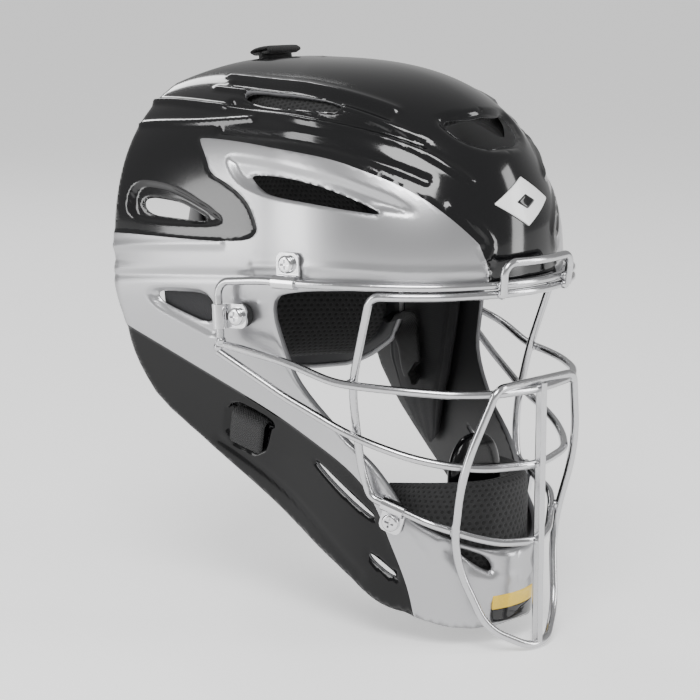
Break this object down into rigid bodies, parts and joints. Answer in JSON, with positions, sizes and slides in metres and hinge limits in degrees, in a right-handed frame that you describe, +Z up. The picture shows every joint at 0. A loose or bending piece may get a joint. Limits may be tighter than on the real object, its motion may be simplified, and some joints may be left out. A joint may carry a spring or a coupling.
{
  "type": "catcher's mask",
  "caption": "Hockey-style catcher's helmet: moulded shell with a bolted wire face cage, foam pads and a back plate that swings on a crown strap.",
  "frame": {"origin": "centre of the wearer's head, where the head mount is", "axes": "+Z up, the mask faces -Y, the wearer's right is -X"},
  "size_m": [0.1928, 0.233, 0.2906],
  "materials": {
    "shell": "satin metallic silver with gloss black crown and jaw panels",
    "wire": "bright nickel",
    "clip": "bright",
    "screw": "bright",
    "nut": "zinc plated",
    "spacer": "matte",
    "webbing": "woven",
    "cup": "satin",
    "plate": "satin",
    "pad": "spacer mesh and knitted cloth over foam"
  },
  "bodies": {
    "helmet": {"brow_pad": "pad", "brow_staple": "wire", "cage_screws": "screw", "centre_bar": "wire", "chin_cup": "cup", "chin_pad": "pad", "crown_pad": "pad", "crown_strap": "webbing", "eye_bar": "wire", "front_shell": "shell", "inner_loop_wire": "wire", "lower_clip_left": "clip", "lower_clip_right": "clip", "mouth_bar": "wire", "outer_frame_wire": "wire", "rubber_spacers": "spacer", "side_clip_left": "clip", "side_clip_right": "clip", "side_elastic_left": "webbing", "side_elastic_right": "webbing", "side_pad_left": "pad", "side_pad_right": "pad", "side_strap_left": "webbing", "side_strap_right": "webbing", "tee_nuts": "nut", "throat_loop": "wire", "top_clip_left": "clip", "top_clip_right": "clip"},
    "back_plate": {"back_plate": "plate", "back_plate_pad": "pad", "plate_strap": "webbing"}
  },
  "joints": [
    {"name": "back_plate_swing", "type": "hinge", "parent": "helmet", "child": "back_plate", "pos_m": [0, 0.062, 0.139], "axis": [1, 0, 0], "range_deg": [0, 28], "deforming": ["side_elastic_right", "side_elastic_left"]}
  ]
}
